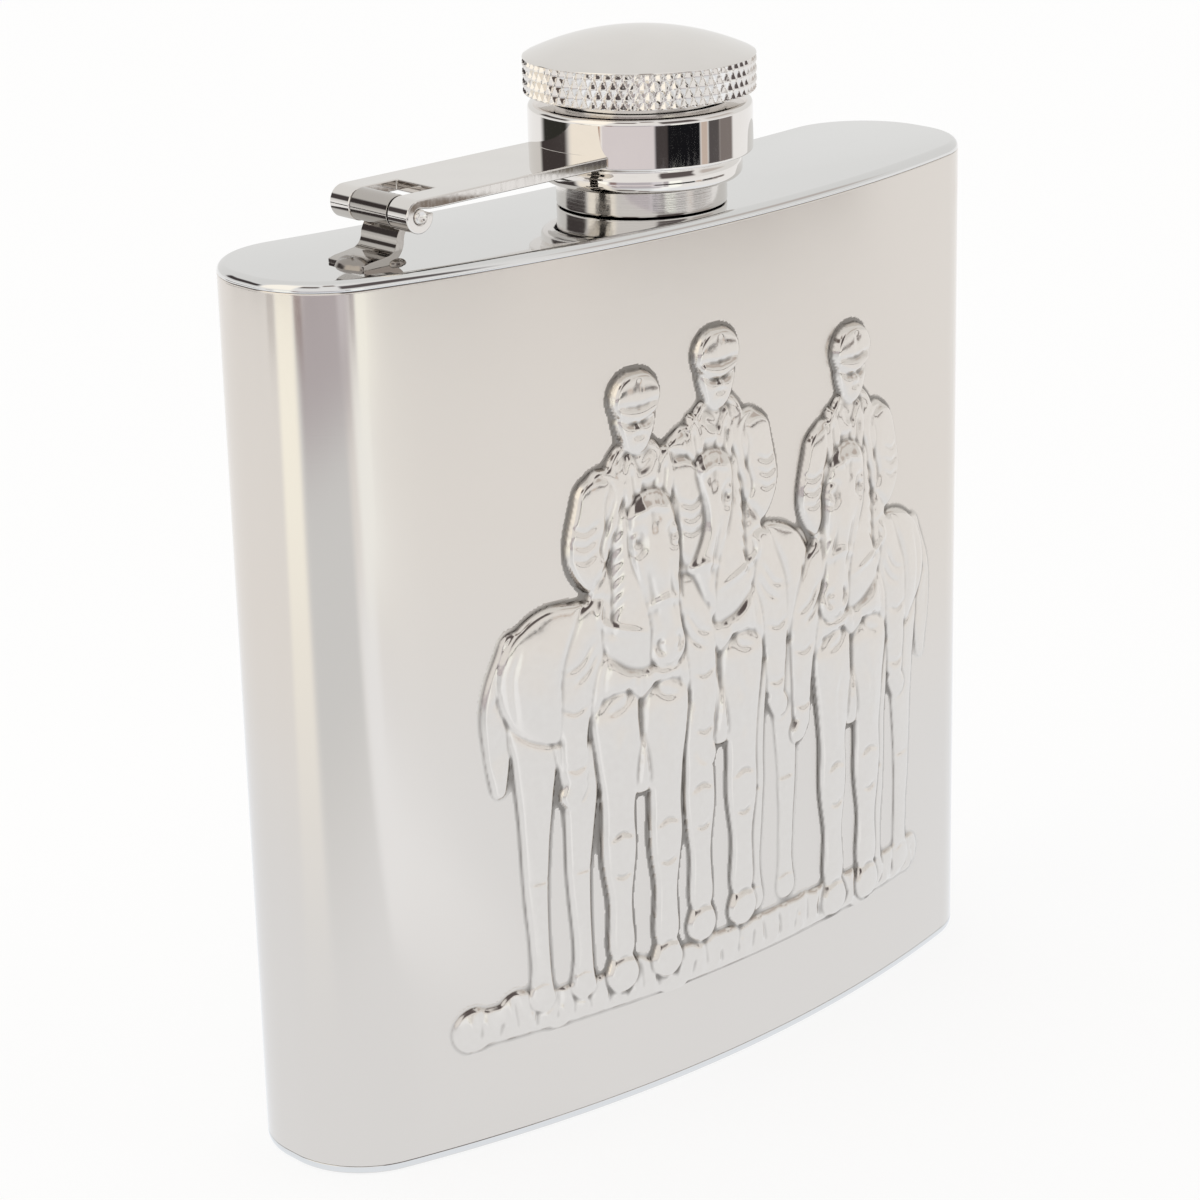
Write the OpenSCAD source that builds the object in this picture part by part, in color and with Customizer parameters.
// Kidney-section hip flask with a hinged captive screw cap and an applied racing badge.
// Origin: on the base plane, on the axis of the neck.  X = width, -Y = front, +Z = up.

/* [Body] */
// Width over the rounded sides
body_w = 95; // [80:1:120]
// Height of the top plate's upper face above the base
body_h = 93.1; // [70:0.1:120]
// Distance of the front face from the neck axis, at mid width
front_depth = 10.7; // [9:0.1:14]
// Distance of the back face from the neck axis, at mid width
back_depth = 12.3; // [9:0.1:16]
// Radius of the bulging front face
front_r = 155.5; // [120:0.5:260]
// Radius of the hollow back face
back_r = 282.5; // [200:0.5:400]
// Radius of the rounded sides
side_r = 9.4; // [7:0.1:10]
// Thickness of the sleeve's sheet
sheet_t = 0.6; // [0.4:0.1:1]
// Thickness of the top and bottom plates
plate_t = 1; // [0.6:0.1:1.5]

/* [Neck] */
// Radius of the neck's bore
bore_r = 6; // [4.5:0.1:6.5]
// Height of the neck's rim above the base
neck_top = 102.5; // [101:0.1:104]

/* [Cap] */
// Radius of the knurled grip
grip_r = 11.8; // [11.6:0.1:13]
// Height of the knurled grip
grip_h = 3.7; // [2.5:0.1:5]
// Rise of the domed top
dome_rise = 2.6; // [1:0.1:4]
// Pitch of the screw thread
pitch = 1.5; // [1:0.1:1.8]

/* [Hinge] */
// Distance of the hinge axis from the neck axis
hinge_x = 34; // [28:0.5:38]
// Height of the hinge axis above the base
hinge_z = 98; // [97:0.1:99]
// Outside radius of the knuckles
knuckle_r = 1.65; // [1.4:0.05:2]
// Width of the arm
arm_w = 11.6; // [8:0.1:14]

/* [Badge] */
// How far the badge stands out of the front face
badge_t = 1.8; // [0.8:0.1:2.5]

/* [Hidden] */
$fn = 96;

eps = 0.01;
satin = [0.80, 0.78, 0.76];
polished = [0.85, 0.85, 0.84];
bright = [0.78, 0.76, 0.74];
white_plastic = [0.93, 0.93, 0.90];

// Kidney outline: centres and tangent angles of its arcs
side_x = body_w / 2 - side_r;
front_cy = front_r - front_depth;
back_cy = back_r + back_depth;
front_a = asin(side_x / (front_r - side_r));
back_a = asin(side_x / (back_r + side_r));
side_front_y = front_cy - (front_r - side_r) * cos(front_a);
side_back_y = back_cy - (back_r + side_r) * cos(back_a);
face_steps = 28;
side_steps = 10;

// Plates
flange_l = 2.6;
plate_z = body_h - plate_t;

// Neck and thread
neck_r = 7.1;
neck_foot_r = 8.6;
neck_foot_t = 1.2;
thread_h = 0.3;
thread_turns = 3;
thread_gap = 0.4;
thread_lead = 0.6;
thread_rise = 0.3 * pitch;
thread_crest = 0.2 * pitch;
thread_base = 2 * thread_rise + thread_crest;
neck_thread_z = neck_top - thread_lead - thread_turns * pitch;
insert_thread_z = neck_thread_z + thread_rise;

// Threaded insert of the cap
insert_r = 8.7;
insert_bore_r = neck_r + 2 * thread_h + thread_gap;
insert_gap = 0.12;
insert_flange_r = 10.2;
insert_flange_t = 0.8;
seal_t = 1.5;
seal_r = insert_bore_r - 0.2;
ceiling_z = neck_top + seal_t;
ceiling_t = 1.2;
head_h = 1.8;
head_lip = 1.2;

// Captive band and its collar
band_r = 11.4;
band_wall = 0.8;
band_z = 98.4;
band_top = 103.6;
lip_t = 0.6;
collar_r = 10.3;
collar_z = 95.8;
collar_top = 99;
collar_round = 0.5;
swivel_gap = 0.25;
flange_z = collar_top + 0.1;

// Cap shell
grip_z = 104.5;
shell_wall = 1.1;
dome_r = (grip_r * grip_r + dome_rise * dome_rise) / (2 * dome_rise);
dome_top = grip_z + grip_h + dome_rise;
dome_fn = 180;

// Hinge
pin_r = 0.72;
pin_gap = 0.04;
pin_over = 0.25;
ear_gap = 0.15;
tongue_w = 5.4;
arm_t = 1.15;
arm_rise = 0.3;
window_l = 4.4;
curl_slit = 0.2;
strip_t = 0.9;
foot_l = 5;
foot_t = 0.8;
bend_r = 1.1;

// Solder gap behind the badge
badge_gap = 0.02;
wrap_fn = 360;

// Riders on the badge: x of the head, height of the feet, sideways reach of the hindquarters
riders = [[-0.5, 15.7, 7], [20.5, 11.8, 7], [-11.5, 13.3, -10]];

// Right half of a rider on a horse seen from the front, feet at the origin: x, z
rider_half = [
  [0, 12], [1.3, 7], [1.3, 0.4], [4.7, 0.4], [4.3, 5], [5, 17.6], [6.8, 22], [10.4, 22], [9.9, 27],
  [10.3, 36], [8, 42], [8.8, 48], [6.8, 54.6], [4.4, 57], [2, 58.2], [2.9, 61], [3, 64], [2.1, 66], [0, 66.6]
];

// Hindquarters, from their own middle outwards: rump, tail and two legs
hindquarters = [
  [0, 43.9], [4.5, 42.4], [6.6, 39.6], [9, 35], [8.4, 24.5], [6, 24], [5.4, 29], [4.6, 14], [4.5, 0.4],
  [1.5, 0.4], [1.8, 14], [0.4, 24], [-0.4, 14], [-0.5, 0.4], [-3.7, 0.4], [-3.3, 14], [-5, 24]
];

// Strip of turf under the riders: half width, bottom and top
turf = [34, 11, 17];
turf_slope = 3;

function arc(cx, cy, r, a0, a1, n) =
  [for (i = [0:n]) [cx + r * cos(a0 + (a1 - a0) * i / n), cy + r * sin(a0 + (a1 - a0) * i / n)]];

// Right half of the outline, inset by d, then the same mirrored
function half_outline(d) = concat(
  arc(0, front_cy, front_r - d, -90, -90 + front_a, face_steps / 2),
  arc(side_x, side_front_y, side_r - d, -90 + front_a + 90 / side_steps, 0, side_steps),
  arc(side_x, side_back_y, side_r - d, 0, 90 + back_a, side_steps),
  arc(0, back_cy, back_r + d, -90 + back_a - back_a / face_steps, -90, face_steps / 2)
);

module kidney(d = 0) {
  right = half_outline(d);
  last = len(right) - 1;
  polygon(concat(right, [for (i = [last - 1:-1:1]) [-right[i][0], right[i][1]]]));
}

module kidney_ring(outer, inner) {
  difference() {
    kidney(outer);
    kidney(inner);
  }
}

module at_z(z, h) {
  translate([0, 0, z]) linear_extrude(h) children();
}

// Along Y, centred, at the hinge axis
module hinge_rod(r, l) {
  translate([-hinge_x, l / 2, hinge_z]) rotate([90, 0, 0]) cylinder(r = r, h = l);
}

// Flat profile in x, z pulled out along Y, centred
module across(w) {
  translate([0, w / 2, 0]) rotate([90, 0, 0]) linear_extrude(w) children();
}

module body_sleeve() {
  color(satin) at_z(plate_t, plate_z - plate_t) kidney_ring(0, sheet_t);
}

module bottom_plate() {
  color(polished) {
    at_z(0, plate_t) kidney();
    at_z(plate_t, flange_l) kidney_ring(sheet_t, 2 * sheet_t);
  }
}

module top_plate() {
  color(polished) difference() {
    union() {
      at_z(plate_z, plate_t) kidney();
      at_z(plate_z - flange_l, flange_l) kidney_ring(sheet_t, 2 * sheet_t);
    }
    translate([0, 0, plate_z - eps]) cylinder(r = neck_r, h = plate_t + 2 * eps);
  }
}

module mounted_rider(rear) {
  last = len(rider_half) - 1;
  polygon(concat(rider_half, [for (i = [last - 1:-1:1]) [-rider_half[i][0], rider_half[i][1]]]));
  translate([rear, 0]) scale([sign(rear), 1])
    polygon(concat([[-abs(rear), 43]], hindquarters, [[-abs(rear), 30]]));
}

// The offset merges turf and riders into one outline
module badge_outline() {
  half_bottom = turf[0] - turf_slope;
  offset(delta = eps) {
    polygon([[-half_bottom, turf[1]], [half_bottom, turf[1]], [turf[0], turf[2]], [-turf[0], turf[2]]]);
    for (r = riders) translate([r[0], r[1]]) mounted_rider(r[2]);
  }
}

// Applied badge: the riders' outline, wrapped round the front face
module racing_badge() {
  color(bright) intersection() {
    translate([0, front_cy, 0]) difference() {
      cylinder(r = front_r + badge_t, h = body_h, $fn = wrap_fn);
      translate([0, 0, -eps]) cylinder(r = front_r + badge_gap, h = body_h + 2 * eps, $fn = wrap_fn);
    }
    rotate([90, 0, 0]) linear_extrude(2 * front_depth) badge_outline();
  }
}

// Rings that stand for a screw thread: out from r to r + h, seen in r, z
module thread_rings(r, h, z) {
  for (i = [0:thread_turns - 1])
    translate([0, z + i * pitch])
      polygon([[r - h, 0], [r, 0], [r + h, thread_rise], [r + h, thread_rise + thread_crest],
               [r, thread_base], [r - h, thread_base]]);
}

module neck_tube() {
  color(bright) difference() {
    rotate_extrude() {
      translate([bore_r - 1, plate_z - flange_l])
        square([neck_r - bore_r + 1, neck_top - plate_z + flange_l]);
      translate([bore_r - 1, plate_z - neck_foot_t]) square([neck_foot_r - bore_r + 1, neck_foot_t]);
      thread_rings(neck_r, thread_h, neck_thread_z);
    }
    translate([0, 0, plate_z - flange_l - 1]) cylinder(r = bore_r, h = neck_top);
  }
}

// Foot, riser and middle knuckle, bent from one strip
module hinge_bracket() {
  riser_x = -hinge_x + strip_t / 2;
  bend_x = riser_x - strip_t - bend_r;
  bend_z = body_h + foot_t + bend_r;
  color(bright) difference() {
    union() {
      across(tongue_w) polygon(concat(
        [[riser_x - foot_l, body_h], [riser_x, body_h], [riser_x, hinge_z - knuckle_r / 2],
         [riser_x - strip_t, hinge_z - knuckle_r / 2]],
        arc(bend_x, bend_z, bend_r, 0, -90, 6),
        [[riser_x - foot_l, body_h + foot_t]]
      ));
      hinge_rod(knuckle_r, tongue_w);
    }
    hinge_rod(pin_r + pin_gap, tongue_w + 1);
  }
}

module hinge_pin() {
  color(polished) hinge_rod(pin_r, arm_w + 2 * pin_over);
}

// Flat arm, its two rolled ears and the window over the middle knuckle
module cap_arm() {
  top_z = hinge_z + knuckle_r;
  gap_w = tongue_w + 2 * ear_gap;
  color(bright) difference() {
    union() {
      hinge_rod(knuckle_r, arm_w);
      across(arm_w) polygon([
        [-hinge_x, top_z], [-hinge_x, top_z - arm_t], [-band_r / 2, top_z - arm_t + arm_rise],
        [-band_r / 2, top_z + arm_rise]
      ]);
    }
    hinge_rod(pin_r + pin_gap, arm_w + 1);
    translate([-hinge_x - 2 * knuckle_r, -gap_w / 2, hinge_z - 2 * knuckle_r])
      cube([2 * knuckle_r + window_l, gap_w, 5 * knuckle_r]);
    translate([-hinge_x + pin_r / 2, -arm_w, top_z - arm_t - curl_slit])
      cube([2 * knuckle_r, 2 * arm_w, curl_slit]);
    translate([0, 0, collar_z]) cylinder(r = band_r, h = 2 * (band_top - collar_z));
  }
}

// Polished band that the arm is welded to; the cap turns in it
module cap_band() {
  inner = band_r - band_wall;
  lip_r = insert_r + swivel_gap;
  edge = lip_t / 2;
  color(polished) rotate_extrude() polygon([
    [inner, band_z], [band_r, band_z], [band_r, band_top - edge], [band_r - edge, band_top],
    [lip_r, band_top], [lip_r, band_top - lip_t], [inner, band_top - lip_t]
  ]);
}

// Ring pressed into the band from below; it keeps the cap's flange in
module band_collar() {
  inner = insert_r + swivel_gap;
  color(polished) rotate_extrude() polygon([
    [inner, collar_z], [collar_r - collar_round, collar_z], [collar_r, collar_z + collar_round],
    [collar_r, band_z], [band_r - band_wall, band_z], [band_r - band_wall, collar_top],
    [inner, collar_top]
  ]);
}

// Turned insert: long skirt, captive flange, internal thread and the head that holds the shell
module cap_insert() {
  skirt_z = body_h + insert_gap;
  color(bright) difference() {
    rotate_extrude() {
      translate([0, skirt_z]) square([insert_r, grip_z - skirt_z + eps]);
      translate([0, flange_z]) square([insert_flange_r, insert_flange_t]);
      translate([0, grip_z]) square([grip_r - shell_wall, head_h]);
    }
    difference() {
      translate([0, 0, skirt_z - 1]) cylinder(r = insert_bore_r, h = ceiling_z - skirt_z + 1);
      rotate_extrude() internal_rings();
    }
    translate([0, 0, ceiling_z + ceiling_t]) cylinder(r = grip_r - shell_wall - head_lip, h = head_h);
  }
}

// Inward rings of the insert's thread, seen in r, z
module internal_rings() {
  for (i = [0:thread_turns - 1])
    translate([insert_bore_r, insert_thread_z + i * pitch])
      polygon([[1, 0], [0, 0], [-thread_h, thread_rise], [-thread_h, thread_rise + thread_crest],
               [0, thread_base], [1, thread_base]]);
}

module cap_seal() {
  color(white_plastic) translate([0, 0, neck_top]) cylinder(r = seal_r, h = seal_t);
}

// Domed shell with the grip that is knurled
module domed(r, ball_r, z) {
  intersection() {
    translate([0, 0, z]) cylinder(r = r, h = 2 * grip_h);
    translate([0, 0, dome_top - dome_r]) sphere(r = ball_r, $fn = dome_fn);
  }
}

module cap_shell() {
  color(polished) difference() {
    domed(grip_r, dome_r, grip_z);
    domed(grip_r - shell_wall, dome_r - shell_wall, grip_z - 1);
  }
}

body_sleeve();
bottom_plate();
top_plate();
racing_badge();
neck_tube();
hinge_bracket();
hinge_pin();
cap_arm();
cap_band();
band_collar();
cap_insert();
cap_seal();
cap_shell();
